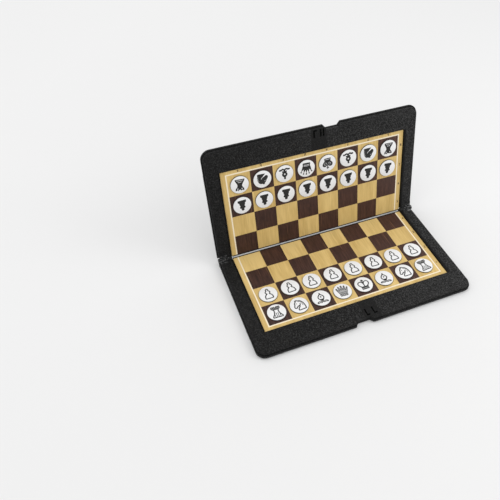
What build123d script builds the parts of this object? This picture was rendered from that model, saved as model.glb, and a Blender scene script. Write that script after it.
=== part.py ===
from build123d import *
import os

# Pocket chess set: two flat halves of one moulding family, hinged along a long side,
# with a steel-backed board in each half and 32 flat magnetic discs as the men.
# Each half is modelled flat, outside face down: X along the hinge, Y = 0 on the hinge
# axis and negative towards the free edge, Z = 0 on the outside face. The base is then
# shifted to the part's origin, and the lid is turned end for end and stood up.

# Board and men
square = 17.3              # side of one chess square
files = 8                  # squares along the hinge
ranks_per_half = 4         # squares from the hinge to the free edge, on each half
side_margin = 4.5          # printed border beyond the squares, at the short ends
front_margin = 3.7         # printed border beyond the squares, at the free edge
print_thickness = 0.5      # printed board sheet
steel_thickness = 0.4      # steel sheet that the magnets hold to
disc_diameter = 14.0
disc_thickness = 0.9
disc_flat_count = 48       # fine flats that stand for the disc's round edge
disc_gap = 0.05            # a disc's underside above the print
disc_below_rim = 0.05      # a disc's face below the rim of its half

# Case, one half
side_band = 11.3           # board edge to the outside, at the short ends
front_band = 18.1          # board edge to the outside, at the free edge
axis_height = 5.2          # outside face to the hinge axis, where closed halves meet
parting_gap = 0.1          # each half's rim stops this far short of that plane
skin = 1.4                 # wall of the outer cover
lip_width = 0.8            # how far the cover stands proud of the inner frame
lip_height = 0.5           # how far its edge rises beside the frame
corner_radius = 7.0        # free-edge corners, seen from above
edge_round = 0.6           # rounding of the cover's outside edges
panel_step = 0.8           # the outside face steps in by this at the free edge
strip_depth = 18.9         # width of that stepped strip
frame_wall = 1.3           # walls of the hollow inner frame
ledge_width = 2.0          # frame's ledge under the steel sheet
rib = 1.0                  # thickness of the cover's inside ribs
long_ribs = 5              # ribs from the hinge to the free edge
cross_ribs = 2             # ribs along the hinge
rim_bevel = 0.35           # bevel of the frame's upper outside edge

# Hinge
hinge_radius = 3.4         # a knuckle's outer part, which stands out behind the spine
barrel_radius = 1.7        # a knuckle's inner part, round the pin
pin_radius = 0.8
pin_tight = 0.02           # radial clearance in the knuckle that holds the pin
pin_running = 0.06         # radial clearance in the knuckle that turns on it
pin_end_wall = 1.0         # plastic left beyond each end of the pin
spine_gap = 0.15           # each half stops this far short of the hinge axis
knuckle_gap = 0.3          # between neighbouring knuckles, and round their reliefs
root_depth = 1.6           # solid root in front of a half's own knuckle
spine_lip = 0.35           # thickness of the thin wall that edges the board at the hinge
spine_lip_rise = 0.55      # its top above the print
flute_stop = 0.7           # the flutes end this far under the steel sheet

# Finger notch, latch and grip flutes
notch_floor = 9.4
notch_slant = 2.4
notch_depth = 2.9
base_notch_x = -5.0
lid_notch_x = -13.7        # in the lid's own direction, which is turned end for end
notch_gap = 0.3            # the frame's notch is this much wider than the cover's
slot_width = 1.1
slot_length = 5.9
slot_depth = 2.2
slot_foot = 2.8            # the short leg of an L-shaped slot
foot_width = 1.1
slot_inset = 1.7           # free edge to the front end of the lid's slots
foot_shift = 2.6           # the base's slots lie this much nearer the board
latch_x = 1.4              # middle of the latch, in the base's direction
hook_height = 1.0
hook_width = 1.1
hook_thickness = 0.5
l_slot_x = 2.8             # the L-shaped slots lie this far either side of latch_x
tongue_x = 3.6             # latch_x to the lid's tongue, between two straight slots
tongue_half = 1.15         # tongue's middle to the middle of either slot
flute_count = 17
flute_pitch = 8.0
flute_width = 4.8
flute_depth = 0.4

# Pegs that fix each frame to its cover
peg_radius = 1.1
peg_clearance = 0.05
boss_wall = 1.0
boss_gap = 0.4             # boss top to the underside of the frame's top wall

fit_gap = 0.15             # frame beside the cover's parts
window_gap = 0.4           # sheets in their window, which shows as a dark line

# Pose of the lid in the photograph: the angle between the two boards
opening_angle = 102.0

# Sizes that follow
board_half = files / 2 * square + side_margin
board_front = ranks_per_half * square + front_margin
window_half = board_half + window_gap
window_front = board_front + window_gap
half_length = board_half + side_band
half_depth = board_front + front_band
half_height = axis_height - parting_gap
print_top = half_height - disc_below_rim - disc_thickness - disc_gap
steel_top = print_top - print_thickness
steel_bottom = steel_top - steel_thickness
strip_floor = panel_step + skin
knuckle_start = window_half + knuckle_gap
knuckle_width = (half_length - knuckle_start - knuckle_gap) / 2
knuckle_split = knuckle_start + knuckle_width
root_front = hinge_radius + root_depth
root_top = half_height - frame_wall - fit_gap
sheet_back = spine_gap + spine_lip + disc_gap
frame_half = half_length - lip_width
frame_front = half_depth - lip_width


def block(x0, x1, y0, y1, z0, z1):
    """A box between two corners."""
    size = (x1 - x0, y1 - y0, z1 - z0)
    middle = ((x0 + x1) / 2, (y0 + y1) / 2, (z0 + z1) / 2)
    return Pos(*middle) * Box(*size)


def column(x, y, radius, z0, z1):
    """An upright cylinder between two heights."""
    return Pos(x, y, (z0 + z1) / 2) * Cylinder(radius, z1 - z0)


def bar_on_axis(radius, x0, x1):
    """A cylinder round the hinge axis, from x0 to x1."""
    middle = Pos((x0 + x1) / 2, 0, axis_height)
    return middle * Rot(0, 90, 0) * Cylinder(radius, x1 - x0)


def slab(half_width, front, back, radius, z0, z1):
    """A plate with rounded free-edge corners and square corners at the hinge."""
    depth = front - back
    outline = Pos(0, -(front + back) / 2) * Rectangle(2 * half_width, depth)
    corners = outline.vertices().group_by(Axis.Y)[0]
    outline = fillet(corners, radius)
    return Pos(0, 0, z0) * extrude(outline, z1 - z0)


def notch(x, grow):
    """The finger notch: a flat-bottomed bay in the free edge with slanted ends."""
    floor = notch_floor / 2 + grow
    mouth = floor + notch_slant
    inner = notch_depth + grow
    outline = make_face(Polyline(
        (x - mouth, -half_depth - skin),
        (x - mouth, -half_depth),
        (x - floor, -half_depth + inner),
        (x + floor, -half_depth + inner),
        (x + mouth, -half_depth),
        (x + mouth, -half_depth - skin),
        close=True,
    ))
    return extrude(outline, half_height)


def own_zones():
    """X ranges of a half's own knuckles: the outer one left, the inner one right."""
    return [(-half_length, -knuckle_split - knuckle_gap), (knuckle_start, knuckle_split)]


def relief_zones():
    """X ranges kept clear for the other half's knuckles."""
    left = (-knuckle_split - knuckle_gap, -window_half)
    right = (knuckle_split, half_length)
    return [left, right]


def peg_places():
    """Four pegs midway across the frame's bands: two at the front, one on each side."""
    x_side = (window_half + frame_half) / 2
    y_front = -(window_front + frame_front) / 2
    x_front = files / 4 * square
    y_side = -ranks_per_half / 2 * square
    places = [(x_front, y_front), (x_side, y_side)]
    return places + [(-x, y) for x, y in places]


def flutes():
    """Shallow grip grooves across the spine edge, evenly spaced about its middle."""
    radius = flute_width ** 2 / (8 * flute_depth) + flute_depth / 2
    first = -(flute_count - 1) / 2 * flute_pitch
    cuts = []
    for i in range(flute_count):
        x = first + i * flute_pitch
        y = -spine_gap - flute_depth + radius
        cuts.append(column(x, y, radius, 0, steel_bottom - flute_stop))
    return cuts


def make_cover(notch_x):
    """The outer cover: a thin tray with a stepped face, a low lip, ribs and knuckles."""
    outside = slab(half_length, half_depth, spine_gap, corner_radius, 0, strip_floor + lip_height)
    step = block(-half_length, half_length, -half_depth, -half_depth + strip_depth, 0, panel_step)
    outside -= step
    bottom = outside.faces().filter_by(Axis.Z).sort_by(Axis.Z)[:2]
    round_edges = bottom.edges().filter_by(lambda e: e.center().Y < -spine_gap - edge_round)
    round_edges = [e for e in round_edges if e.center().Y < -half_depth + strip_depth - panel_step
                   or abs(e.center().X) > half_length - edge_round]
    outside = fillet(round_edges, edge_round)

    # hollow it: the floor steps with the face, and the lip is left standing
    step_line = -half_depth + strip_depth
    hollow_half = half_length - lip_width
    hollow = slab(hollow_half, half_depth - lip_width, -1, corner_radius - lip_width, skin, half_height)
    floor_step = block(-half_length, half_length, -half_depth, step_line, 0, strip_floor)
    outside -= hollow - floor_step
    low_lip = block(-half_length - 1, half_length + 1, step_line, 1, skin + lip_height, half_height)
    outside -= low_lip

    # spine wall, ribs and bosses
    rib_half = window_half - ledge_width - fit_gap
    wall = block(-rib_half, rib_half, -spine_gap - skin, -spine_gap, skin, steel_bottom)
    edging = block(-board_half, board_half, -spine_gap - spine_lip, -spine_gap,
                   steel_bottom, print_top + spine_lip_rise)
    parts = [wall, edging]
    rib_front = window_front - ledge_width - fit_gap
    for i in range(long_ribs):
        x = rib_half * (2 * (i + 1) / (long_ribs + 1) - 1)
        parts.append(block(x - rib / 2, x + rib / 2, -rib_front, -spine_gap, skin, steel_bottom))
    for i in range(cross_ribs):
        y = -rib_front * (i + 1) / (cross_ribs + 1)
        parts.append(block(-rib_half, rib_half, y - rib / 2, y + rib / 2, skin, steel_bottom))
    boss_radius = peg_radius + peg_clearance + boss_wall
    boss_top = half_height - frame_wall - boss_gap
    bores = []
    for x, y in peg_places():
        floor = strip_floor if y < step_line else skin
        parts.append(column(x, y, boss_radius, floor, boss_top))
        bores.append(column(x, y, peg_radius + peg_clearance, floor, boss_top))

    # knuckles on solid roots: a barrel round the pin, and a wider part low enough
    # to pass under the top wall of the other half's frame when the set lies flat open
    knuckles = []
    for x0, x1 in own_zones():
        parts.append(block(x0, x1, -root_front, -spine_gap, 0, root_top))
        low = block(x0, x1, -hinge_radius, hinge_radius, 0, root_top)
        knuckles += [bar_on_axis(barrel_radius, x0, x1), bar_on_axis(hinge_radius, x0, x1) & low]
    cover = outside + parts
    for x0, x1 in relief_zones():
        cover -= bar_on_axis(hinge_radius + knuckle_gap, x0, x1)
    cover = cover + knuckles - bores
    cover -= flutes()
    cover -= notch(notch_x, 0)
    return cover


def pin_bores(clearance):
    """The two holes along the hinge axis, one at each end of the case."""
    ends = []
    for side in (-1, 1):
        inner = side * (knuckle_start + pin_end_wall)
        outer = side * (half_length - pin_end_wall)
        ends.append(bar_on_axis(pin_radius + clearance, min(inner, outer), max(inner, outer)))
    return ends


def make_frame(notch_x):
    """The inner frame: a hollow C round the board, open at the hinge and underneath."""
    body = slab(frame_half - fit_gap, frame_front - fit_gap, spine_gap,
                corner_radius - lip_width - fit_gap, skin, half_height)
    rim = body.faces().sort_by(Axis.Z)[-1].edges()
    rim = rim.filter_by(lambda e: e.center().Y < -spine_gap - rim_bevel)
    body = chamfer(rim, rim_bevel)
    cavity_half = frame_half - fit_gap - frame_wall
    cavity_front = frame_front - fit_gap - frame_wall
    cavity = slab(cavity_half, cavity_front, hinge_radius + root_depth + fit_gap + frame_wall,
                  corner_radius - lip_width - frame_wall, skin, half_height - frame_wall)
    inner_wall = block(-window_half - frame_wall, window_half + frame_wall,
                       -window_front - frame_wall, 1, skin, half_height)
    body -= cavity - inner_wall
    body -= block(-window_half, window_half, -window_front, 1, steel_bottom, half_height)
    ledge_half = window_half - ledge_width
    body -= block(-ledge_half, ledge_half, -window_front + ledge_width, 1, skin, steel_bottom)

    # sit on the stepped floor of the cover
    step_line = -half_depth + strip_depth
    body -= block(-half_length, half_length, -half_depth, step_line + fit_gap, skin, strip_floor)

    # give way to the knuckles: under the top wall to their full depth, and through
    # that wall only round the barrels
    underside = half_height - frame_wall
    for x0, x1 in own_zones():
        x_low = window_half if x0 > 0 else x0
        body -= block(x_low, x1 + fit_gap, -root_front - fit_gap, 1, 0, underside)
    for x0, x1 in relief_zones():
        body -= block(x0, x1, -hinge_radius - knuckle_gap, 1, 0, underside)
    for side in (-1, 1):
        inner, outer = side * window_half, side * half_length
        body -= block(min(inner, outer), max(inner, outer), -barrel_radius - knuckle_gap, 1, 0,
                      half_height)
    body -= notch(notch_x, notch_gap)
    body += notch_wall(notch_x)

    # pegs down into the cover's bosses
    pegs = []
    for x, y in peg_places():
        floor = strip_floor if y < step_line else skin
        pegs.append(column(x, y, peg_radius, floor + peg_clearance, half_height - frame_wall / 2))
    return body + pegs


def notch_wall(notch_x):
    """The frame's own wall behind the finger notch."""
    wall = notch(notch_x, notch_gap + frame_wall) - notch(notch_x, notch_gap)
    band = slab(frame_half - fit_gap, frame_front - fit_gap, spine_gap,
                corner_radius - lip_width - fit_gap, strip_floor, half_height)
    return wall & band


def slot(x, y_front, foot):
    """A latch slot from its front end back, with a short leg to +X if foot is set."""
    top = half_height
    cut = block(x - slot_width / 2, x + slot_width / 2, y_front, y_front + slot_length,
                top - slot_depth, top)
    if foot:
        cut += block(x - slot_width / 2, x - slot_width / 2 + slot_foot, y_front,
                     y_front + foot_width, top - slot_depth, top)
    return cut


def base_latch(frame):
    """Two L-shaped slots; the second takes the lid's hook."""
    front = -half_depth + slot_inset + foot_shift
    frame -= slot(latch_x - l_slot_x, front, True)
    return frame - slot(latch_x + l_slot_x, front, True)


def lid_latch(frame):
    """One L-shaped slot, and a hooked tongue between two straight slots.

    It is laid out in the base's direction and then mirrored into the lid's own.
    """
    front = -half_depth + slot_inset
    tongue = latch_x + tongue_x
    cuts = slot(latch_x - l_slot_x, front, True)
    cuts += slot(tongue - tongue_half, front, False)
    cuts += slot(tongue + tongue_half, front, False)
    hook_y = front + foot_shift + foot_width / 2
    hook = block(tongue - hook_width / 2, tongue + hook_width / 2, hook_y - hook_thickness / 2,
                 hook_y + hook_thickness / 2, half_height - frame_wall, half_height + hook_height)
    return frame - mirror(cuts, Plane.YZ) + mirror(hook, Plane.YZ)


def make_steel():
    """The steel sheet, which the spine's thin edging stops at the hinge."""
    return block(-board_half, board_half, -board_front, -sheet_back, steel_bottom, steel_top)


def make_board():
    """The printed sheet on the steel."""
    return block(-board_half, board_half, -board_front, -sheet_back, steel_top, print_top)


def make_disc(file_index, rank_from_hinge):
    """One man: a flat disc in the middle of its square."""
    x = (file_index - (files - 1) / 2) * square
    y = -(rank_from_hinge + 0.5) * square
    outline = RegularPolygon(disc_diameter / 2, disc_flat_count)
    return Pos(x, y, print_top + disc_gap) * extrude(outline, disc_thickness)


# Placement of the two halves
axis_y = half_depth / 2
place_base = Pos(0, axis_y, 0)
stand_up = Pos(0, axis_y, axis_height) * Rot(180 - opening_angle, 0, 0) * Pos(0, 0, -axis_height)
place_lid = stand_up * Rot(0, 0, 180)

nodes = {}

running = pin_bores(pin_running)
tight = pin_bores(pin_tight)
base_cover = make_cover(base_notch_x)
lid_cover = make_cover(lid_notch_x)
# each half's outer knuckle, on its left, holds a pin, and its inner one turns on the other
nodes["base_cover"] = place_base * (base_cover - tight[0] - running[1])
nodes["lid_cover"] = place_lid * (lid_cover - tight[0] - running[1])
nodes["base_frame"] = place_base * base_latch(make_frame(base_notch_x))
nodes["lid_frame"] = place_lid * lid_latch(make_frame(lid_notch_x))
nodes["base_steel_sheet"] = place_base * make_steel()
nodes["lid_steel_sheet"] = place_lid * make_steel()
nodes["base_board"] = place_base * make_board()
nodes["lid_board"] = place_lid * make_board()
pins = pin_bores(0)
nodes["hinge_pin_left"] = place_base * pins[0]
nodes["hinge_pin_right"] = place_base * pins[1]

back_rank = ["rook", "knight", "bishop", "queen", "king", "bishop", "knight", "rook"]
letters = "abcdefgh"
for i, man in enumerate(back_rank):
    # the lid's own X is the other way round, so its files are counted from the far end
    far = files - 1 - i
    nodes[f"white_{man}_{letters[i]}"] = place_base * make_disc(i, ranks_per_half - 1)
    nodes[f"white_pawn_{letters[i]}"] = place_base * make_disc(i, ranks_per_half - 2)
    nodes[f"black_{man}_{letters[i]}"] = place_lid * make_disc(far, ranks_per_half - 1)
    nodes[f"black_pawn_{letters[i]}"] = place_lid * make_disc(far, ranks_per_half - 2)

os.makedirs("parts", exist_ok=True)
for name, shape in nodes.items():
    export_step(shape, f"parts/{name}.step")
print(len(nodes), "nodes")
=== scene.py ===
# %% [markdown]
# # A pocket chess set
# The set is a flat plastic case in two halves, hinged along a long side. Each half carries a thin
# printed board on a steel sheet, and the men are flat magnetic discs with printed symbols.
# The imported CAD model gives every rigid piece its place. This lesson dresses it: materials for the
# moulded plastic, the print and the steel, then the 32 discs with their symbols, then light and camera.

from math import cos, pi, radians, sin

import bpy
import numpy as np
from mathutils import Matrix, Vector
from mathutils.geometry import tessellate_polygon


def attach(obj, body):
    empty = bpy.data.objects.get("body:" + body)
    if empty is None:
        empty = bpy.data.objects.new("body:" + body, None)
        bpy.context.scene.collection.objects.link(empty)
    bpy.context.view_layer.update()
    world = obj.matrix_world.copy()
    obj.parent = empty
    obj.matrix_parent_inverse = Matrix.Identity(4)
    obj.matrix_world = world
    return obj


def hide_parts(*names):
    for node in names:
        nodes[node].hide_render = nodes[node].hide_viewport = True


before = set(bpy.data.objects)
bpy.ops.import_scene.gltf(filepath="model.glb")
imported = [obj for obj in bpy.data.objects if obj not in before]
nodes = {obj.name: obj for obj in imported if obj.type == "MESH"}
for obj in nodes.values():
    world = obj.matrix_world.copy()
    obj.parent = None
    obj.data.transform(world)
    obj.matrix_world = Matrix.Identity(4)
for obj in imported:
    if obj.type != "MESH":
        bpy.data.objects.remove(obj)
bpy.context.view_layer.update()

# %% [markdown]
# The case is measured in a frame of its own half: u runs along the hinge, w away from it (negative
# on the base, positive on the lid) and z up from the outside face. Folding w and z about the hinge
# line gives the place in the model. All lengths are metres, so millimetres get a small factor.

# %% Sizes and the fold between the two halves
MM = 0.001
SQUARE = 17.3 * MM
HINGE_Y = 45.5 * MM
HINGE_Z = 5.2 * MM
FOLD = radians(78.0)
PRINT_TOP = 4.1 * MM
GRID_HALF = 4 * SQUARE
HALF_LENGTH = 85.0 * MM  # middle to a short end
HALF_DEPTH = 91.0 * MM  # hinge to the free edge
WINDOW_LENGTH = 74.1 * MM  # middle to the side of the board's window
WINDOW_DEPTH = 73.3 * MM  # hinge to its front
STRIP_DEPTH = 18.9 * MM  # free edge to the step in the outside face
FILES = "abcdefgh"
BACK_RANK = ["rook", "knight", "bishop", "queen", "king", "bishop", "knight", "rook"]


def placed(points, half):
    """Points (u, w, z) of one half moved to the model.

    On the base only w shifts to the hinge. On the lid w and z turn about the hinge line by the fold:
    y = hinge + w cos - (z - axis) sin, and z' = axis + w sin + (z - axis) cos.
    """
    p = np.asarray(points, float)
    turn = FOLD if half == "lid" else 0.0
    w, z = p[:, 1], p[:, 2] - HINGE_Z
    y = HINGE_Y + w * cos(turn) - z * sin(turn)
    up = HINGE_Z + w * sin(turn) + z * cos(turn)
    return np.column_stack([p[:, 0], y, up])


corner = placed([(0.0, HALF_DEPTH, PRINT_TOP)], "lid")[0]
print("top edge of the lid at", np.round(corner, 4))

# %% [markdown]
# Shader maths reads best as ordinary sums. A small class wraps an output socket, and its operators
# add Math nodes. Every other node comes from one method, which takes the node's type, its settings
# and what goes into its sockets.

# %% Shader maths as Python expressions
class Value:
    """An output socket that can be added, multiplied and compared."""

    def __init__(self, graph, socket):
        self.graph = graph
        self.socket = socket

    def math(self, operation, *others):
        """A Math node on this value and the others; a comparison gives 1 or 0."""
        inputs = dict(enumerate((self,) + others))
        return self.graph.node("ShaderNodeMath", {"operation": operation}, inputs)

    def __add__(self, other):
        return self.math("ADD", other)

    __radd__ = __add__

    def __mul__(self, other):
        return self.math("MULTIPLY", other)

    __rmul__ = __mul__

    def __sub__(self, other):
        return self.math("SUBTRACT", other)

    def __rsub__(self, other):
        return (self * -1.0) + other

    def __truediv__(self, other):
        return self.math("DIVIDE", other)

    def __gt__(self, other):
        return self.math("GREATER_THAN", other)

    def __lt__(self, other):
        return self.math("LESS_THAN", other)


class Graph:
    """The node tree of a new material, or of a new world."""

    def __init__(self, name, collection="materials"):
        self.owner = getattr(bpy.data, collection).new(name)
        self.owner.use_nodes = True
        self.tree = self.owner.node_tree
        self.tree.nodes.clear()

    def node(self, kind, settings=None, inputs=None, output=0):
        """A new node with its settings; each input is a number, a colour or another value."""
        new = self.tree.nodes.new(kind)
        for key, value in (settings or {}).items():
            setattr(new, key, value)
        for key, value in (inputs or {}).items():
            if isinstance(value, Value):
                self.tree.links.new(value.socket, new.inputs[key])
            else:
                new.inputs[key].default_value = value
        return Value(self, new.outputs[output]) if new.outputs else None

    def mix(self, factor, a, b):
        """Colour a where factor is 0, b where it is 1."""
        return self.node("ShaderNodeMix", {"data_type": "RGBA"}, {0: factor, 6: a, 7: b}, 2)

    def noise(self, vector, scale, detail=2.0, roughness=0.5):
        """Noise from 0 to 1, mostly near 0.5, with cells of 1 / scale metres."""
        inputs = {"Vector": vector, "Scale": scale, "Detail": detail, "Roughness": roughness}
        return self.node("ShaderNodeTexNoise", None, inputs)

    def ramp(self, value, start, end, low=0.0, high=1.0):
        """low up to start, high from end on, and straight in between."""
        inputs = {0: value, 1: start, 2: end, 3: low, 4: high}
        return self.node("ShaderNodeMapRange", None, inputs)

    def split(self, vector):
        """The three numbers of a vector."""
        new = self.tree.nodes.new("ShaderNodeSeparateXYZ")
        self.tree.links.new(vector.socket, new.inputs[0])
        return [Value(self, out) for out in new.outputs]

    def join(self, x, y, z):
        """A vector, or a colour, from three numbers."""
        return self.node("ShaderNodeCombineXYZ", None, {0: x, 1: y, 2: z})

    def place(self):
        """Object coordinates, which are metres in the model, as no piece is moved or turned."""
        return self.node("ShaderNodeTexCoord", None, None, "Object")

    def half_place(self, half):
        """Object coordinates turned into the half's own u, w and z."""
        turn = FOLD if half == "lid" else 0.0
        shift = Matrix.Rotation(-turn, 3, "X") @ Vector((0.0, HINGE_Y, HINGE_Z))
        inputs = {"Vector": self.place(), "Location": -shift, "Rotation": (-turn, 0.0, 0.0)}
        return self.node("ShaderNodeMapping", None, inputs)

    def finish(self, constants, linked):
        """A Principled surface: constants on its own sockets, the rest linked."""
        shader = self.node("ShaderNodeBsdfPrincipled", None, {**constants, **linked})
        self.node("ShaderNodeOutputMaterial", None, {"Surface": shader})
        return self.owner

    def bump(self, height, strength, distance):
        """A normal that follows the height, as if 0 to 1 rose by the distance."""
        inputs = {"Height": height, "Strength": strength, "Distance": distance}
        return self.node("ShaderNodeBump", None, inputs, "Normal")


def grey(level):
    """A linear grey colour."""
    return (level, level, level, 1.0)


def coat(node, material):
    """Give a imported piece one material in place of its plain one."""
    nodes[node].data.materials.clear()
    nodes[node].data.materials.append(material)


print("shader helpers ready")

# %% [markdown]
# The covers and frames are moulded in dark plastic with a fine sandy grain, like spark-eroded
# tooling leaves. Two noises, one with cells of about 0.8 mm and one less than half as large, give the
# specks in colour and the bump. Its grey is worked out as one number: low in the pits, high on the
# tips. The frame is smooth in a small panel round its latch, so the grain fades out there. The covers'
# sides are smooth too, and their darker grey is painted shade. Wear and a painted highlight make the
# covers pale along their outer edges, and painted shade darkens the foot of the step. The frames get
# painted shade beside their windows, and painted light makes them a little paler towards their right
# end, as in the photograph. Painted highlights lie on the hinge barrels.

# %% Moulded plastic
CELL_SCALE = 1250.0
FINE_SCALE = 3000.0
CLOUD_SCALE = 30.0
SMOOTH_AND_SHADE_GREY = 0.008
COVER_PIT, COVER_TIP = 0.020, 0.118
FRAME_PIT, FRAME_TIP = 0.0038, 0.052
FRAME_PAINTED_LIGHT = 4.6
WEAR_AND_HIGHLIGHT_GREY = 0.24
STEP_SHADE_GREY = 0.006
BARREL_HIGHLIGHT_GREY = 0.17
SHADE_GREY = 0.001


def moulded_plastic(name, half, pit, tip, inner, edges, paler=0.0):
    """Grained plastic, from the grey of its pits to that of its tips.

    The mask of inner fades the grain. The list from edges gives masks and the grey that each leads
    to: grey + (aim - grey) x mask. The grey also rises by the share "paler" for each metre of u: painted
    light, lighter towards the right end.
    """
    g = Graph(name)
    place = g.place()
    u, w, z = g.split(g.half_place(half))
    cell = g.noise(place, CELL_SCALE, 2.0, 0.75)
    fine = g.noise(place, FINE_SCALE, 1.0, 0.5)
    cloud = g.noise(place, CLOUD_SCALE, 3.0, 0.5)
    grain = cell * 0.65 + fine * 0.35
    keep = inner(g, u, w, z)
    speck = g.ramp(grain, 0.48, 0.62) * keep
    level = keep * (pit - SMOOTH_AND_SHADE_GREY) + SMOOTH_AND_SHADE_GREY
    level = level + (tip - level) * speck
    level = level + (tip - level) * (cloud - 0.4).math("MAXIMUM", 0.0) * keep * 0.3
    for mask, aim in edges(g, u, w, z):
        level = level + (aim - level) * mask
    # Painted light: the grey grows along u, lighter towards the right end.
    level = level * (u * paler + 1.0)
    rough = 0.66 - speck * 0.2
    normal = g.bump(grain * keep, 0.7, 0.16 * MM)
    constants = {"Specular IOR Level": 0.14}
    linked = {"Base Color": level, "Roughness": rough, "Normal": normal}
    return g.finish(constants, linked)


def outer_skin(g, u, w, z):
    """1 on the outside face, falling to 0.2 by 2 mm up the sides, which are smooth."""
    # Painted shade: up the sides the grey falls to the smooth grey, darker than the outside face.
    rise = z + HINGE_Z
    return g.ramp(rise, 0.9 * MM, 2.0 * MM, 1.0, 0.2)


def polished_barrels(g, u, w, z):
    """Painted highlights: pale patches on the hinge barrels at both ends.

    The distance from the axis is the square root of w^2 + z^2, and a knuckle reaches to 3.4 mm.
    """
    from_axis = (w * w + z * z).math("SQRT")
    on_barrel = (from_axis < 3.6 * MM) * (u.math("ABSOLUTE") > 77.0 * MM)
    patches = g.ramp(g.noise(g.place(), 700.0, 1.0, 0.5), 0.50, 0.62, 0.0, 0.6)
    return [(on_barrel * patches, BARREL_HIGHLIGHT_GREY)]


def cover_edges(g, u, w, z):
    """Pale within 0.4 mm of the outside face's edges and of the step, from wear and a painted highlight;
    painted shade beyond the step's foot.
    """
    on_face = z + HINGE_Z < 1.3 * MM
    from_side = HALF_LENGTH - u.math("ABSOLUTE")
    from_free_edge = HALF_DEPTH - w.math("ABSOLUTE")
    before_step = from_free_edge - STRIP_DEPTH
    near_edge = from_side.math("MINIMUM", from_free_edge) < 0.4 * MM
    near_step = (before_step > 0.0) * (before_step < 0.35 * MM)
    patchy = g.ramp(g.noise(g.place(), 420.0, 3.0, 0.6), 0.42, 0.62, 0.1, 0.75)
    # Pale edges: partly wear, partly a painted highlight on the face's edges and the step's upper edge.
    wear_and_highlight = near_edge.math("MAXIMUM", near_step) * on_face * patchy
    # Painted shade: the step's shadow darkens the strip just beyond its foot.
    fade = g.ramp(before_step, -1.1 * MM, -0.1 * MM, 0.0, 0.85)
    step_shade = fade * (before_step < 0.02 * MM) * on_face
    return [(wear_and_highlight, WEAR_AND_HIGHLIGHT_GREY), (step_shade, STEP_SHADE_GREY)] + polished_barrels(g, u, w, z)


def latch_panel(g, u, w, z):
    """0.25 in the smooth panel between the board and the free edge round the latch, 1 elsewhere.

    The panel reaches 6.2 mm to either side of u = 2.3 mm.
    """
    across = (u - 2.3 * MM).math("ABSOLUTE") < 6.2 * MM
    beyond = w.math("ABSOLUTE") > WINDOW_DEPTH + 0.1 * MM
    return 1.0 - across * beyond * 0.75


def window_shade(g, u, w, z):
    """Shade on the frame's short sides: full up to 0.5 mm from the window, gone by 1.8 mm.

    On the right side it reaches 0.6 mm further.
    """
    from_window = u.math("ABSOLUTE") - WINDOW_LENGTH
    beside = (from_window > -0.2 * MM) * (w.math("ABSOLUTE") < WINDOW_DEPTH)
    depth = from_window - (u > 0.0) * 0.6 * MM
    shade = g.ramp(depth, 0.5 * MM, 1.8 * MM, 0.92, 0.0) * beside
    return [(shade, SHADE_GREY)] + polished_barrels(g, u, w, z)


for half in ("base", "lid"):
    name = f"{half} cover plastic"
    cover = moulded_plastic(name, half, COVER_PIT, COVER_TIP, outer_skin, cover_edges)
    name = f"{half} frame plastic"
    bezel = moulded_plastic(name, half, FRAME_PIT, FRAME_TIP, latch_panel, window_shade, FRAME_PAINTED_LIGHT)
    coat(f"{half}_cover", cover)
    coat(f"{half}_frame", bezel)
print("covers and frames are grained")

# %% [markdown]
# The board is one printed sheet per half: veneer squares in maple and a dark reddish brown, a cream
# line round three sides of the grid, and a maple border. It is all worked out from u and w: the
# square is the whole part of each over the square's side, and a square is dark where the two whole
# parts add up to an even number. The grain is noise stretched along w, and it jumps to another
# stretch of veneer at each square. The border is one uncut stretch.

# %% Printed board
LINE_WIDTH = 1.0 * MM
MAPLE = [(0.54, 0.352, 0.106, 1.0), (0.78, 0.565, 0.222, 1.0)]
WALNUT = [(0.020, 0.0066, 0.0048, 1.0), (0.082, 0.034, 0.022, 1.0)]
PALE_THREAD = (0.23, 0.11, 0.05, 1.0)
CREAM = (0.93, 0.82, 0.62, 1.0)


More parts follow.
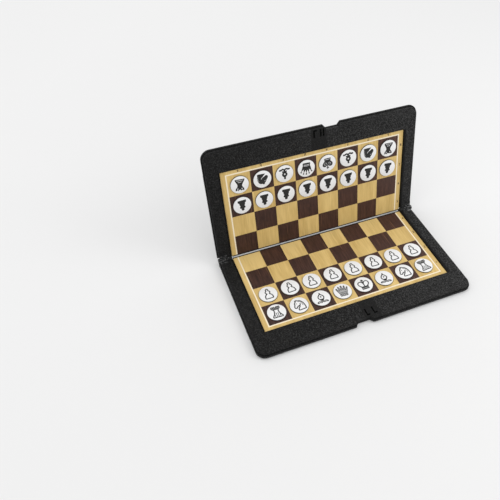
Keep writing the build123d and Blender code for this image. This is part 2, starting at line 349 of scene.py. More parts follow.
def printed_board(name, half):
    """The print of one half: each veneer mixes its darkest and its palest colour by the grain.

    Painted light makes maple paler near the fold on the base, and walnut paler along u. A veneer's
    number, 7.31 x column + 3.77 x row, moves the noise to another stretch, and it is 0 in the border.
    """
    g = Graph(name)
    u, w, z = g.split(g.half_place(half))
    column = (u / SQUARE).math("FLOOR")
    row = (w / SQUARE).math("FLOOR")
    parity = (column + row + 16.0).math("MODULO", 2.0)
    is_dark = 1.0 - (parity > 0.5)
    beyond_side = u.math("ABSOLUTE") - GRID_HALF
    beyond_front = w.math("ABSOLUTE") - GRID_HALF
    outside = beyond_side.math("MAXIMUM", beyond_front)
    in_border = outside > 0.0
    in_line = in_border * (outside < LINE_WIDTH)
    veneer = (column * 7.31 + row * 3.77) * (1.0 - in_border)
    along = g.join(u + veneer * 0.05, w * 0.07, veneer)
    streak = g.noise(along, 900.0, 3.0, 0.6)
    along_wide = g.join(u + veneer * 0.11, w * 0.16, veneer)
    band = g.noise(along_wide, 160.0, 3.0, 0.55)
    pore = g.noise(g.join(u, w * 0.12, veneer), 2600.0, 2.0, 0.5)
    figure = streak * 0.45 + band * 0.55
    # Painted light: maple is paler near the fold on the base, against the lid's shade there.
    fold_painted_light = g.ramp(w, -20.0 * MM, -2.0 * MM, 0.0, 0.35) * (w < 0.0)
    maple = g.mix(g.ramp(figure, 0.3, 0.64) + fold_painted_light, *MAPLE)
    vessel = streak * 0.65 + pore * 0.35
    # Painted light: walnut grows paler along u, towards the right.
    walnut = g.mix(g.ramp(vessel, 0.34, 0.66) + u * 2.4, *WALNUT)
    thread = g.noise(g.join(u, w * 0.03, veneer + 5.0), 1100.0, 1.0, 0.5)
    walnut = g.mix(g.ramp(thread, 0.66, 0.76, 0.0, 0.5), walnut, PALE_THREAD)
    squares = g.mix(is_dark, maple, walnut)
    colour = g.mix(in_border, squares, maple)
    colour = g.mix(in_line, colour, CREAM)
    rough = 0.42 + pore * 0.12
    normal = g.bump(pore, 0.12, 0.03 * MM)
    constants = {"Specular IOR Level": 0.35}
    linked = {"Base Color": colour, "Roughness": rough, "Normal": normal}
    return g.finish(constants, linked)


for half in ("base", "lid"):
    coat(f"{half}_board", printed_board(f"{half} board print", half))
print("boards printed")

# %% [markdown]
# The steel sheets lie under the prints, so at most their thin edges show, and the pins are hidden in
# their knuckles. The steel is tinned, so it is paler and less mirror-like than bare metal.
# Rolled sheet has fine streaks along the rolling direction, so its noise is drawn out along u.

# %% Steel
def rolled_steel(name, along_u):
    """Pale steel, with streaks that are 1 / along_u times as long as they are wide."""
    g = Graph(name)
    x, y, z = g.split(g.place())
    stretched = g.join(x * along_u, y, z)
    streak = g.noise(stretched, 2400.0, 3.0, 0.6)
    tint = g.mix(streak, grey(0.95), grey(0.99))
    rough = 0.24 + streak * 0.22
    normal = g.bump(streak, 0.2, 0.02 * MM)
    linked = {"Base Color": tint, "Roughness": rough, "Normal": normal}
    return g.finish({"Metallic": 0.25}, linked)


steel = rolled_steel("rolled steel", 0.03)
for node in ("base_steel_sheet", "lid_steel_sheet", "hinge_pin_left", "hinge_pin_right"):
    coat(node, steel)
print("steel on the sheets and pins")

# %% [markdown]
# A man is a round tablet: a white plastic cap bonded to a dark magnetic foil. The cap is a little
# smaller than the foil, so a thin dark rim shows round it. Its outline is a short profile of radius
# and height, which is carried round the middle. A profile that starts and ends on the middle closes
# at its poles, so the solid is sealed.

# %% A profile carried round an axis
def revolved(profile, sides):
    """Vertices and faces of a profile of (radius, height) turned about the z axis.

    Point j of the profile at angle t is (r cos t, r sin t, h). The first and last points lie on the
    axis, so each of them is one vertex that closes its end.
    """
    p = np.asarray(profile, float)
    ring = p[1:-1]
    t = np.arange(sides) * 2 * pi / sides
    x = ring[:, 0, None] * np.cos(t)
    y = ring[:, 0, None] * np.sin(t)
    z = np.repeat(ring[:, 1, None], sides, axis=1)
    verts = np.column_stack([x.ravel(), y.ravel(), z.ravel()])
    poles = np.array([[0, 0, p[0, 1]], [0, 0, p[-1, 1]]])
    verts = np.vstack([verts, poles])
    i = np.arange(sides)
    j = (i + 1) % sides
    faces = []
    for k in range(len(ring) - 1):
        a, b = k * sides, (k + 1) * sides
        faces += np.column_stack([a + i, a + j, b + j, b + i]).tolist()
    low, high = len(verts) - 2, len(verts) - 1
    last = (len(ring) - 1) * sides
    faces += np.column_stack([i * 0 + low, j, i]).tolist()
    faces += np.column_stack([i * 0 + high, last + i, last + j]).tolist()
    return verts, faces


def new_piece(name, verts, faces, materials, body):
    """A mesh object at the origin that rides on a body."""
    mesh = bpy.data.meshes.new(name)
    mesh.from_pydata(np.asarray(verts).tolist(), [], faces)
    for material in materials:
        mesh.materials.append(material)
    mesh.update()
    piece = bpy.data.objects.new(name, mesh)
    bpy.context.scene.collection.objects.link(piece)
    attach(piece, body)
    return piece


# The dark foil is real, but its thickness and the dark rim round the cap also stand in for the shade
# round each disc: painted shade.
FOIL_RADIUS = 7.0 * MM
CAP_RADIUS = 6.82 * MM
FOIL = 0.55 * MM
THICK = 0.9 * MM
BEVEL = 0.14 * MM
DISC_SIDES = 96
FOIL_BEVEL = 0.03 * MM
SHOULDER = 0.01 * MM  # rise of the foil's rim towards the cap
DARK_BELOW = FOIL + 0.008 * MM  # a face whose corners lie lower on average is foil
profile = [
    (0.0, 0.0),
    (FOIL_RADIUS - FOIL_BEVEL, 0.0),
    (FOIL_RADIUS, FOIL_BEVEL),
    (FOIL_RADIUS, FOIL),
    (CAP_RADIUS, FOIL + SHOULDER),
    (CAP_RADIUS, THICK - BEVEL),
    (CAP_RADIUS - 0.3 * BEVEL, THICK - 0.3 * BEVEL),
    (CAP_RADIUS - BEVEL, THICK),
    (0.0, THICK),
]
disc_verts, disc_faces = revolved(profile, DISC_SIDES)
print("disc", len(disc_verts), "vertices")

# %% [markdown]
# The cap is satin white plastic with a faint orange peel. Ink is laid on unevenly: noise mixes its
# colour where it is thin with that where it is full. The foil and the marks that are left unprinted
# inside a black figure are made the same way.

# %% Finishes of the discs and their ink
def disc_plastic(name):
    """White plastic, with a slow cloud in colour and gloss and a fine bump."""
    g = Graph(name)
    place = g.place()
    cloud = g.noise(place, 220.0, 3.0, 0.6)
    orange = g.noise(place, 2600.0, 1.0, 0.5)
    colour = g.mix(cloud, (0.835, 0.84, 0.85, 1.0), (0.905, 0.905, 0.905, 1.0))
    rough = 0.30 + cloud * 0.16
    normal = g.bump(orange, 0.10, 0.03 * MM)
    constants = {"Specular IOR Level": 0.4}
    return g.finish(constants, {"Base Color": colour, "Roughness": rough, "Normal": normal})


def printed_ink(name, thin, full):
    """Ink whose colour is thin + (full - thin) x noise, rougher where the noise is high."""
    g = Graph(name)
    cover = g.noise(g.place(), 1300.0, 3.0, 0.6)
    colour = g.mix(cover, thin, full)
    rough = 0.38 + cover * 0.2
    normal = g.bump(cover, 0.1, 0.02 * MM)
    linked = {"Base Color": colour, "Roughness": rough, "Normal": normal}
    return g.finish({"Specular IOR Level": 0.3}, linked)


white_plastic = disc_plastic("disc white plastic")
magnet_foil = printed_ink("magnet foil", grey(0.02), grey(0.045))
black_ink = printed_ink("black ink", grey(0.022), grey(0.012))
grey_ink = printed_ink("grey ink", grey(0.44), grey(0.34))
bare_ink = printed_ink("unprinted line", (0.80, 0.80, 0.815, 1.0), (0.86, 0.86, 0.87, 1.0))
print("disc finishes ready")

# %% [markdown]
# The symbols are the traditional diagram figures, drawn here from a few points each, in millimetres
# about the disc's middle. A figure is built from two sorts of mark: a filled outline and a line
# of a given width. A smooth outline is a closed curve through its points (Catmull-Rom), where each
# span mixes four neighbouring points with cubic weights.

# %% Curves through points
def smooth(points, closed=True, steps=6):
    """A Catmull-Rom curve through the points.

    Between b and c, with neighbours a and d, and t from 0 to 1, it is half of
    2 b + (c - a) t + (2 a - 5 b + 4 c - d) t^2 + (3 b - 3 c + d - a) t^3.
    """
    p = np.asarray(points, float)
    n = len(p)
    spans = n if closed else n - 1
    k = np.arange(spans)
    if closed:
        a, b, c, d = p[(k - 1) % n], p[k], p[(k + 1) % n], p[(k + 2) % n]
    else:
        a, b, c, d = p[np.maximum(k - 1, 0)], p[k], p[k + 1], p[np.minimum(k + 2, n - 1)]
    t = (np.arange(steps) / steps)[:, None, None]
    curve = 2 * b + (c - a) * t + (2 * a - 5 * b + 4 * c - d) * t**2
    curve = 0.5 * (curve + (3 * b - 3 * c + d - a) * t**3)
    curve = curve.transpose(1, 0, 2).reshape(-1, 2)
    return curve if closed else np.vstack([curve, p[-1:]])


def mirrored(points):
    """A right half from top to bottom, closed by its mirror image on the left."""
    p = np.asarray(points, float)
    left = p[::-1] * (-1, 1)
    keep = np.abs(left[:, 0]) > 1e-9
    return np.vstack([p, left[keep]])


def circle(x, y, radius, count=20):
    """Points (x + r cos t, y + r sin t), evenly spaced in t."""
    t = np.arange(count) * 2 * pi / count
    return np.column_stack([x + radius * np.cos(t), y + radius * np.sin(t)])


def area(points):
    """Signed area: half the sum of x_i y_(i+1) - y_i x_(i+1), positive when counter-clockwise."""
    x, y = points[:, 0], points[:, 1]
    return 0.5 * np.sum(x * np.roll(y, -1) - y * np.roll(x, -1))


print("curve helpers ready")

# %% [markdown]
# Ink has a thickness, so a mark is a thin closed solid: a prism over a filled outline, or a ribbon of
# rectangular section along a path.

# %% Marks with a little thickness
def fill_mark(points, z0, z1):
    """A flat closed prism: the outline filled at both heights, and a wall between."""
    p = np.asarray(points, float)
    if area(p) < 0:
        p = p[::-1]
    n = len(p)
    verts = np.vstack([np.column_stack([p, np.full(n, z0)]), np.column_stack([p, np.full(n, z1)])])
    tris = tessellate_polygon([[Vector((x, y, 0.0)) for x, y in p]])
    faces = []
    for a, b, c in tris:
        turn = (p[b, 0] - p[a, 0]) * (p[c, 1] - p[a, 1]) - (p[c, 0] - p[a, 0]) * (p[b, 1] - p[a, 1])
        tri = (a, b, c) if turn > 0 else (a, c, b)
        faces.append([tri[0] + n, tri[1] + n, tri[2] + n])
        faces.append([tri[0], tri[2], tri[1]])
    i = np.arange(n)
    j = (i + 1) % n
    faces += np.column_stack([i, j, j + n, i + n]).tolist()
    return verts, faces


def line_mark(points, width, z0, z1, closed=True):
    """A ribbon along a path: each point is pushed half a width to either side of its tangent."""
    p = np.asarray(points, float)
    n = len(p)
    if closed:
        ahead, behind = np.roll(p, -1, axis=0), np.roll(p, 1, axis=0)
    else:
        ahead, behind = np.vstack([p[1:], p[-1:]]), np.vstack([p[:1], p[:-1]])
    tangent = ahead - behind
    tangent /= np.linalg.norm(tangent, axis=1)[:, None]
    side = np.column_stack([-tangent[:, 1], tangent[:, 0]]) * width / 2
    left, right = p + side, p - side
    rows = [(right, z0), (left, z0), (left, z1), (right, z1)]
    verts = np.vstack([np.column_stack([q, np.full(n, z)]) for q, z in rows])
    k = np.arange(n if closed else n - 1)
    nxt = (k + 1) % n
    faces = []
    for a, b in ((0, 1), (1, 2), (2, 3), (3, 0)):
        faces += np.column_stack([a * n + k, b * n + k, b * n + nxt, a * n + nxt]).tolist()
    if not closed:
        faces.append([0, 3 * n, 2 * n, n])
        faces.append([n - 1, 2 * n - 1, 3 * n - 1, 4 * n - 1])
    return verts, faces


print("mark helpers ready")

# %% [markdown]
# The outlines are right halves from top to bottom, mirrored. Only the knight's runs all the way
# round. The black pawn, rook and knight have fuller outlines of their own, and the white queen has
# a broader one. Bishop and king share theirs.

# %% Outlines of the six men, in millimetres
PAWN = mirrored([
    (0.0, 4.4), (0.6, 4.2), (0.9, 3.55), (0.75, 2.9), (1.4, 2.3), (1.75, 1.45), (1.45, 0.65),
    (0.95, 0.15), (1.7, -0.55), (2.5, -1.5), (2.75, -2.6), (2.85, -3.6), (2.6, -4.1), (0.0, -4.2),
])
PAWN_SOLID = mirrored([
    (0.0, 4.4), (0.85, 4.1), (1.15, 3.3), (1.05, 2.6), (1.9, 2.2), (2.2, 1.4), (1.75, 0.6),
    (1.75, 0.0), (2.2, -0.8), (2.2, -1.6), (2.5, -2.2), (3.1, -2.6), (3.2, -4.1), (2.95, -4.35),
    (0.0, -4.35),
])
ROOK_TOP = mirrored([
    (0.0, 3.9), (0.6, 3.9), (0.6, 4.6), (1.5, 4.6), (1.5, 3.9), (2.1, 3.9), (2.1, 4.6), (3.1, 4.6),
    (3.1, 3.3), (2.1, 2.4), (0.0, 2.4),
])
ROOK_BODY = mirrored([
    (0.0, 2.4), (1.75, 2.4), (1.55, 1.2), (1.7, -0.2), (2.2, -1.8), (3.1, -3.1), (3.4, -4.4), (0.0, -4.4),
])
ROOK_SOLID = mirrored([
    (0.0, 4.0), (0.7, 4.0), (0.8, 4.6), (1.6, 4.6), (1.7, 4.1), (2.2, 4.1), (2.3, 4.6), (3.3, 4.5),
    (3.1, 2.9), (2.3, 2.0), (1.85, 1.2), (1.75, 0.3), (2.1, -0.8), (2.7, -1.9), (3.4, -3.1), (3.7, -4.5),
    (0.0, -4.5),
])
BISHOP_HEAD = mirrored([
    (0.0, 3.3), (0.75, 2.7), (1.75, 1.6), (2.15, 0.5), (1.85, -0.5), (1.3, -1.2), (0.0, -1.4),
])
KNIGHT = np.array([
    (-0.6, 4.4), (0.2, 3.7), (1.5, 3.4), (2.6, 2.4), (3.4, 0.8), (3.8, -1.2), (3.8, -3.2), (3.6, -4.3),
    (0.6, -4.4), (-1.7, -4.3), (-1.6, -3.3), (-0.8, -2.2), (0.0, -1.4), (0.1, -0.7), (-0.6, -0.7),
    (-1.6, -1.1), (-2.4, -1.9), (-3.2, -2.1), (-3.9, -1.5), (-3.7, -0.4), (-3.1, 0.7), (-2.8, 1.9),
    (-2.1, 2.9), (-1.6, 3.4), (-1.6, 4.3), (-1.0, 4.0),
])
KNIGHT_SOLID = np.array([
    (-0.6, 4.3), (0.2, 3.7), (1.6, 3.6), (2.9, 2.6), (3.8, 0.8), (4.1, -1.2), (4.0, -3.2), (3.8, -4.3),
    (0.6, -4.4), (-2.0, -4.3), (-1.6, -3.6), (-0.9, -2.8), (-0.3, -2.1), (-0.5, -1.7), (-1.3, -2.0),
    (-2.1, -2.7), (-3.0, -2.9), (-3.8, -2.5), (-4.2, -1.5), (-3.9, -0.3), (-3.2, 0.7), (-2.8, 1.9),
    (-2.1, 2.9), (-1.7, 3.4), (-1.7, 4.3), (-1.0, 4.0),
])
QUEEN_TIPS = [(-4.2, 2.6), (-2.3, 4.0), (0.0, 4.5), (2.3, 4.0), (4.2, 2.6)]
QUEEN = mirrored([
    (0.0, 4.2), (0.5, 0.9), (0.85, 0.9), (2.15, 3.5), (2.0, 0.6), (2.4, 0.4), (4.0, 2.2), (3.1, -1.2),
    (2.6, -2.4), (2.8, -3.2), (2.8, -4.4), (0.0, -4.4),
])
QUEEN_BROAD = mirrored([
    (0.0, 4.6), (0.45, 4.3), (0.55, 1.0), (0.85, 0.9), (2.0, 4.2), (2.6, 4.0), (2.1, 0.6), (2.5, 0.4),
    (4.1, 3.1), (4.5, 2.6), (3.2, -1.2), (2.6, -2.4), (2.8, -3.2), (2.7, -4.4), (0.0, -4.4),
])
KING_LOBE = mirrored([
    (0.0, 0.7), (0.6, 1.8), (1.6, 2.6), (2.9, 2.6), (3.9, 1.8), (4.1, 0.4), (3.4, -0.9), (2.5, -1.8),
    (2.4, -2.6), (0.0, -2.6),
])
KING_FOOT = mirrored([(0.0, -2.6), (2.5, -2.6), (2.7, -4.3), (0.0, -4.3)])
print("outlines ready")


# %% [markdown]
# Each figure becomes a list of marks: ("fill", outline, ink) or ("line", path, ink, width, closed).
# The white men are outlines and the black men are filled, with thin unprinted lines inside. The
# white rook, queen and king have a grey wash and a row of fine strokes.

# %% The printed figures
LINE = 0.78
THIN = 0.40
BLACK, GREY, BARE = 0, 1, 2
KINDS = ["pawn", "rook", "knight", "bishop", "queen", "king"]


def strokes(left, right, low, high, count, width=0.28):
    """Upright strokes between two heights, spread evenly from left to right."""
    places = np.linspace(left, right, count)
    return [("line", [(x, low), (x, high)], BLACK, width, False) for x in places]


def both_sides(points, width):
    """A smooth open line, drawn on the right and mirrored on the left."""
    right = smooth(points, False)
    return [("line", right, BLACK, width, False), ("line", right * (-1, 1), BLACK, width, False)]


def white_figure(kind):
    """The marks of a white man, from the lowest to the topmost."""
    if kind == "pawn":
        return [("line", smooth(PAWN), BLACK, LINE, True)]
    if kind == "rook":
        ripple = [(-2.1, 3.1), (-1.0, 3.4), (0.0, 3.0), (1.0, 3.4), (2.1, 3.1)]
        return [
            ("fill", ROOK_TOP, GREY),
            ("line", ROOK_TOP, BLACK, LINE, True),
            ("line", smooth(ROOK_BODY), BLACK, LINE, True),
            ("line", ripple, BLACK, THIN, False),
        ] + strokes(-1.9, 1.9, -3.9, -0.4, 4, 0.5)
    if kind == "knight":
        mane = smooth([(0.3, 3.0), (1.7, 2.2), (2.4, 0.6), (2.6, -1.4)], False)
        jaw = smooth([(0.2, -0.6), (0.9, 0.1), (1.0, 1.0)], False)
        return [
            ("line", smooth(KNIGHT), BLACK, LINE, True),
            ("fill", circle(-1.55, 1.6, 0.36), BLACK),
            ("line", mane, BLACK, THIN, False),
            ("line", jaw, BLACK, LINE, False),
        ]
    if kind == "bishop":
        return (
            [
                ("line", smooth(BISHOP_HEAD), BLACK, LINE, True),
                ("fill", circle(0.0, 3.9, 0.6), BLACK),
                ("line", circle(0.0, 0.9, 0.35), BLACK, THIN * 1.4, True),
                ("line", [(-1.4, -2.0), (1.4, -2.0)], BLACK, LINE, False),
                ("line", [(-1.1, -1.5), (1.1, -1.5)], BLACK, LINE, False),
            ]
            + both_sides([(4.0, -3.4), (2.6, -2.9), (1.2, -3.2), (0.0, -2.3)], LINE * 0.8)
            + both_sides([(3.9, -4.3), (2.5, -3.9), (1.1, -4.2), (0.0, -3.3)], LINE * 0.8)
            + [("fill", circle(x, -3.85, 0.55), BLACK) for x in (-3.9, 3.9)]
        )
    if kind == "queen":
        tips = [("fill", circle(x, y, 0.5), BLACK) for x, y in QUEEN_TIPS]
        band = [("line", [(-2.5, y), (2.5, y)], BLACK, THIN, False) for y in (-1.3, -2.6)]
        body = [("fill", QUEEN_BROAD, GREY), ("line", QUEEN_BROAD, BLACK, LINE * 0.65, True)]
        return body + tips + band + strokes(-1.8, 1.8, -4.0, -2.7, 4)
    return [
        ("fill", KING_FOOT, GREY),
        ("line", smooth(KING_LOBE), BLACK, LINE, True),
        ("line", KING_FOOT, BLACK, LINE, True),
        ("line", [(0.0, 1.0), (0.0, 4.5)], BLACK, LINE * 1.1, False),
        ("line", [(-1.0, 3.6), (1.0, 3.6)], BLACK, LINE * 1.2, False),
        ("line", [(0.0, 1.0), (0.0, -2.4)], BLACK, LINE, False),
        ("line", [(-2.2, -2.0), (2.2, -2.0)], BLACK, THIN, False),
    ] + strokes(-1.9, 1.9, -4.0, -2.2, 6)


def black_figure(kind):
    """The marks of a black man, from the lowest to the topmost."""
    if kind == "pawn":
        return [("fill", smooth(PAWN_SOLID), BLACK)]
    if kind == "rook":
        across = np.linspace(-2.4, 2.4, 9)
        zigzag = [(x, -3.9 + 0.75 * (k % 2)) for k, x in enumerate(across)]
        second = [(x * 0.72, -2.5 + 0.7 * (k % 2)) for k, x in enumerate(across[1:-1])]
        rings = [("fill", circle(x, 3.1, 0.42), BARE) for x in (-1.6, 1.6)]
        return [
            ("fill", ROOK_SOLID, BLACK),
            ("line", zigzag, BARE, THIN * 0.8, False),
            ("line", second, BARE, THIN * 0.8, False),
        ] + rings
    if kind == "knight":
        jaw = smooth([(-0.6, -2.0), (0.5, -1.1), (0.9, -0.2)], False)
        hairs = []
        for x, y in [(3.6, 1.2), (3.95, 0.1), (4.1, -1.0), (4.1, -2.1)]:
            hairs.append(("line", [(x - 0.9, y + 0.35), (x + 0.2, y + 0.1)], BARE, THIN * 0.6, False))
        return [
            ("fill", smooth(KNIGHT_SOLID), BLACK),
            ("fill", circle(-1.9, 1.5, 0.26), BARE),
            ("line", jaw, BARE, THIN, False),
        ] + hairs
    if kind == "bishop":
        return [
            ("fill", smooth(BISHOP_HEAD), BLACK),
            ("fill", circle(0.0, 3.6, 0.8), BLACK),
            ("fill", [(-2.1, -2.4), (2.1, -2.4), (1.6, -1.0), (-1.6, -1.0)], BLACK),
            ("fill", circle(0.0, 0.3, 0.6), BARE),
            ("line", [(0.0, -3.6), (0.0, -2.0)], BLACK, 1.3, False),
        ] + both_sides([(4.2, -3.6), (3.0, -3.3), (1.5, -3.9), (0.0, -3.2)], 1.25)
    if kind == "queen":
        tips = [("fill", circle(x, y, 0.6), BLACK) for x, y in QUEEN_TIPS]
        return [
            ("fill", QUEEN, BLACK),
            ("line", QUEEN, BLACK, 0.45, True),
            ("line", [(-2.2, -3.1), (0.0, -2.8), (2.2, -3.1)], BARE, THIN, False),
            ("line", [(-2.2, -2.2), (0.0, -1.9), (2.2, -2.2)], BARE, THIN * 0.6, False),
        ] + tips
    lobe = smooth([(1.0, -0.5), (1.1, 0.5), (1.8, 1.2), (2.7, 0.8), (2.2, -0.4)])
    return [
        ("fill", smooth(KING_LOBE), BLACK),
        ("fill", KING_FOOT, BLACK),
        ("line", [(0.0, 1.0), (0.0, 4.5)], BLACK, 0.8, False),
        ("line", [(-1.0, 3.6), (1.0, 3.6)], BLACK, 0.8, False),
        ("line", lobe, BARE, THIN * 0.4, True),
        ("line", lobe * (-1, 1), BARE, THIN * 0.4, True),
        ("line", [(-2.1, -3.4), (0.0, -3.2), (2.1, -3.4)], BARE, THIN * 0.7, False),
    ]


INK_SINK = 0.02  # all in millimetres: how far a mark reaches down into the cap
INK_RISE = 0.012  # the first mark's top above the cap
INK_STEP = 0.0015  # each next mark's top above the one before it


def printed(marks):
    """All marks of a figure as one mesh in metres, each a little prouder than the one before it.

    Its top is at THICK + rise + step x its place in the list. The step keeps the tops of crossing
    marks apart, so that none of them flickers.
    """
    verts, faces, inks = [], [], []
    count = 0
    for order, mark in enumerate(marks):
        shape = np.asarray(mark[1], float) * MM
        low = THICK - INK_SINK * MM
        top = THICK + (INK_RISE + INK_STEP * order) * MM
        if mark[0] == "fill":
            v, f = fill_mark(shape, low, top)
        else:
            v, f = line_mark(shape, mark[3] * MM, low, top, mark[4])
        verts.append(v)
        faces += [[i + count for i in face] for face in f]
        inks += [mark[2]] * len(f)
        count += len(v)
    return np.vstack(verts), faces, inks


figures = {("white", kind): printed(white_figure(kind)) for kind in KINDS}
figures |= {("black", kind): printed(black_figure(kind)) for kind in KINDS}
print("faces of each figure", {key: len(value[1]) for key, value in figures.items()})

# %% [markdown]
# Every man stands on its square's middle. Men are put down by hand, so each is turned a few degrees
# off square by a seeded draw. The black men face the white side, half a turn round.

# %% Lay the men on their squares
DISC_BOTTOM = PRINT_TOP + 0.05 * MM
MIDDLE_FILE = 3.5  # files count from 0, so the board's middle is between 3 and 4
MIDDLE_RANK = 4.5  # ranks count from 1
TURN_SPREAD = 0.05  # standard deviation of a man's turn, in radians


def on_square(points, file_index, rank, turn, half):
    """Disc points turned about the disc's middle, then moved to a square and folded with its half.

    x' = x cos - y sin and y' = x sin + y cos; the square's middle is added to both.
    """
    p = np.asarray(points, float)
    x = p[:, 0] * cos(turn) - p[:, 1] * sin(turn)
    y = p[:, 0] * sin(turn) + p[:, 1] * cos(turn)
    u = x + (file_index - MIDDLE_FILE) * SQUARE
    w = y + (rank - MIDDLE_RANK) * SQUARE
    return placed(np.column_stack([u, w, p[:, 2] + DISC_BOTTOM]), half)


def add_man(side, kind, file_index, rank, turn):
    """One man's disc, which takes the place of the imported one, and its symbol in ink."""
    name = f"{side}_{kind}_{FILES[file_index]}"
    half = "base" if side == "white" else "lid"
    points = on_square(disc_verts, file_index, rank, turn, half)
    disc = new_piece(f"{name}_disc", points, disc_faces, [white_plastic, magnet_foil], name)
    heights = np.array([np.mean([disc_verts[i][2] for i in face]) for face in disc_faces])
    disc.data.polygons.foreach_set("material_index", (heights < DARK_BELOW).astype(int))
    disc.data.polygons.foreach_set("use_smooth", np.ones(len(disc_faces), bool))
    disc.data.set_sharp_from_angle(angle=radians(35.0))
    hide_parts(name)
    verts, faces, inks = figures[(side, kind)]
    points = on_square(verts, file_index, rank, turn, half)
    ink = new_piece(f"{name}_print", points, faces, [black_ink, grey_ink, bare_ink], name)
    ink.data.polygons.foreach_set("material_index", inks)


rng = np.random.default_rng(64)
for file_index in range(8):
    for side, back, front, half_turn in (("white", 1, 2, 0.0), ("black", 8, 7, pi)):
        for kind, rank in ((BACK_RANK[file_index], back), ("pawn", front)):
            turn = half_turn + rng.normal(0.0, TURN_SPREAD)
            add_man(side, kind, file_index, rank, turn)
print("32 men laid out")

# %% [markdown]
# Tiny letters and figures name the files and ranks in the border: letters along the lid's free edge,
# facing the far player, and figures down the right side of both halves. They are cut from the
# built-in typeface as thin prisms.

# %% Coordinate marks in the border
MARK_SIZE = 3.0 * MM
MARK_HEIGHT = 0.015 * MM
MARK_BOLDER = 0.06 * MM  # strokes are swelled by this on either side
LETTER_OUT = 2.4 * MM  # grid to a letter's middle, at the free edge
FIGURE_OUT = 2.9 * MM  # grid to a figure's middle, at the side
mark_brown = printed_ink("mark brown", (0.07, 0.03, 0.02, 1.0), (0.04, 0.018, 0.012, 1.0))


def letter(text):
    """Vertices and faces of one character, centred, standing 15 microns out of the print."""
    curve = bpy.data.curves.new("mark", "FONT")
    curve.body = text
    curve.size = MARK_SIZE
    curve.resolution_u = 3
    curve.extrude = MARK_HEIGHT
    curve.offset = MARK_BOLDER
    source = bpy.data.objects.new("mark", curve)
    mesh = bpy.data.meshes.new_from_object(source)
    verts = np.zeros(len(mesh.vertices) * 3)
    mesh.vertices.foreach_get("co", verts)
    verts = verts.reshape(-1, 3)
    verts[:, :2] -= (verts[:, :2].min(0) + verts[:, :2].max(0)) / 2
    faces = [list(face.vertices) for face in mesh.polygons]
    bpy.data.objects.remove(source)
    return verts, faces


def add_mark(text, u, w, turn, half):
    """One character turned about its own middle and laid on the print at (u, w)."""
    verts, faces = letter(text)
    x = verts[:, 0] * cos(turn) - verts[:, 1] * sin(turn) + u
    y = verts[:, 0] * sin(turn) + verts[:, 1] * cos(turn) + w
    points = placed(np.column_stack([x, y, verts[:, 2] + PRINT_TOP]), half)
    piece = new_piece(f"mark_{text}_{half}", points, faces, [mark_brown], half)


for index, name in enumerate(FILES):
    add_mark(name, (index - MIDDLE_FILE) * SQUARE, GRID_HALF + LETTER_OUT, pi, "lid")
for rank in range(1, 9):
    half = "base" if rank < MIDDLE_RANK else "lid"
    add_mark(str(rank), GRID_HALF + FIGURE_OUT, (rank - MIDDLE_RANK) * SQUARE, 0.0, half)
print("border marks placed")

# %% [markdown]
# The set lies on a wide white sweep in a bright surround. One soft round lamp stands at the front
# right, and a very soft sun comes from above, a little from behind and the left, so that only a soft
# shadow hugs the case. The surround is a little brighter where it is seen than it is as a light.

# %% Floor and light
FLOOR_SPAN = 6.0  # middle of the floor to its edges
SURROUND_LIGHT = 0.84
SURROUND_SEEN = 0.89
LAMP_PLACE = Vector((0.50, -0.25, 0.45))
LAMP_AIM = Vector((0.0, 0.0, 0.03))
TO_SUN = Vector((-0.20, 0.20, 0.96))


def sweep_white():
    """Paper white that darkens a little towards the lamp, so that the floor comes out even.

    Its level is 0.827 - 0.079 x + 0.067 y, with a faint cloud, and at most 0.87. Beyond 0.5 m from
    the set the lowest level rises too, from 0.76 to 0.87 at 1.5 m, so that far away it is all 0.87.
    """
    g = Graph("sweep white")
    cloud = g.noise(g.place(), 3.0, 2.0, 0.5)
    x, y, z = g.split(g.place())
    level = y * 0.067 - x * 0.079 + 0.827 + cloud * 0.006
    from_set = (x * x + y * y).math("SQRT")
    lowest = g.ramp(from_set, 0.5, 1.5, 0.76, 0.87)
    level = level.math("MINIMUM", 0.87).math("MAXIMUM", lowest)
    linked = {"Base Color": g.join(level, level, level), "Roughness": 0.9 + cloud * 0.05}
    return g.finish({"Specular IOR Level": 0.0}, linked)


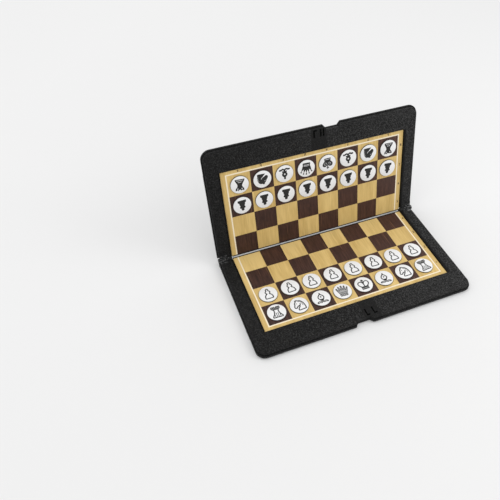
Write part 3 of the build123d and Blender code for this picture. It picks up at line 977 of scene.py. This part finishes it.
def surround():
    """A white world: its strength is 0.84 as light, and 0.89 for camera, gloss and transmission."""
    g = Graph("studio", "worlds")
    kinds = ("Is Camera Ray", "Is Glossy Ray", "Is Transmission Ray")
    camera_ray, glossy_ray, passing_ray = [g.node("ShaderNodeLightPath", output=k) for k in kinds]
    seen = camera_ray + glossy_ray + passing_ray
    strength = g.ramp(seen, 0.0, 1.0, SURROUND_LIGHT, SURROUND_SEEN)
    light = g.node("ShaderNodeBackground", None, {"Color": grey(1.0), "Strength": strength})
    g.node("ShaderNodeOutputWorld", None, {"Surface": light})
    return g.owner


def add_lamp(name, kind, settings, place, towards_source):
    """A lamp at a place, whose light comes from the given direction."""
    data = bpy.data.lights.new(name, kind)
    for key, value in settings.items():
        setattr(data, key, value)
    lamp = bpy.data.objects.new(name, data)
    lamp.location = place
    lamp.rotation_euler = towards_source.to_track_quat("Z", "Y").to_euler()
    bpy.context.scene.collection.objects.link(lamp)
    return lamp


floor_mesh = bpy.data.meshes.new("floor")
s = FLOOR_SPAN
floor_corners = [(-s, -s, 0.0), (s, -s, 0.0), (s, s, 0.0), (-s, s, 0.0)]
floor_mesh.from_pydata(floor_corners, [], [(0, 1, 2, 3)])
floor_mesh.materials.append(sweep_white())
floor = bpy.data.objects.new("floor", floor_mesh)
bpy.context.scene.collection.objects.link(floor)
bpy.context.scene.world = surround()
sun_settings = {"energy": 0.5, "angle": radians(60.0)}
sun = add_lamp("window light", "SUN", sun_settings, (0.0, 0.0, 0.0), TO_SUN)
key_settings = {"shape": "DISK", "size": 0.35, "energy": 0.9}
key = add_lamp("key", "AREA", key_settings, LAMP_PLACE, LAMP_PLACE - LAMP_AIM)
print("floor and lamps ready")

# %% [markdown]
# The camera looks down on the set from the front left, at an elevation of 46 degrees. Its place,
# turn and lens are fitted to the corners of the board's squares, with a small shift kept fixed.

# %% Camera
lens = bpy.data.cameras.new("camera")
lens.sensor_width = 36.0
lens.lens = 39.14
lens.shift_x = -0.080
lens.shift_y = -0.028
lens.clip_start = 0.01
camera = bpy.data.objects.new("camera", lens)
camera.location = (-0.14186, -0.22808, 0.32025)
camera.rotation_euler = (radians(43.846), radians(-0.909), radians(-22.007))
bpy.context.scene.collection.objects.link(camera)
bpy.context.scene.camera = camera
bpy.context.scene.view_settings.view_transform = "Standard"
print("stage set")
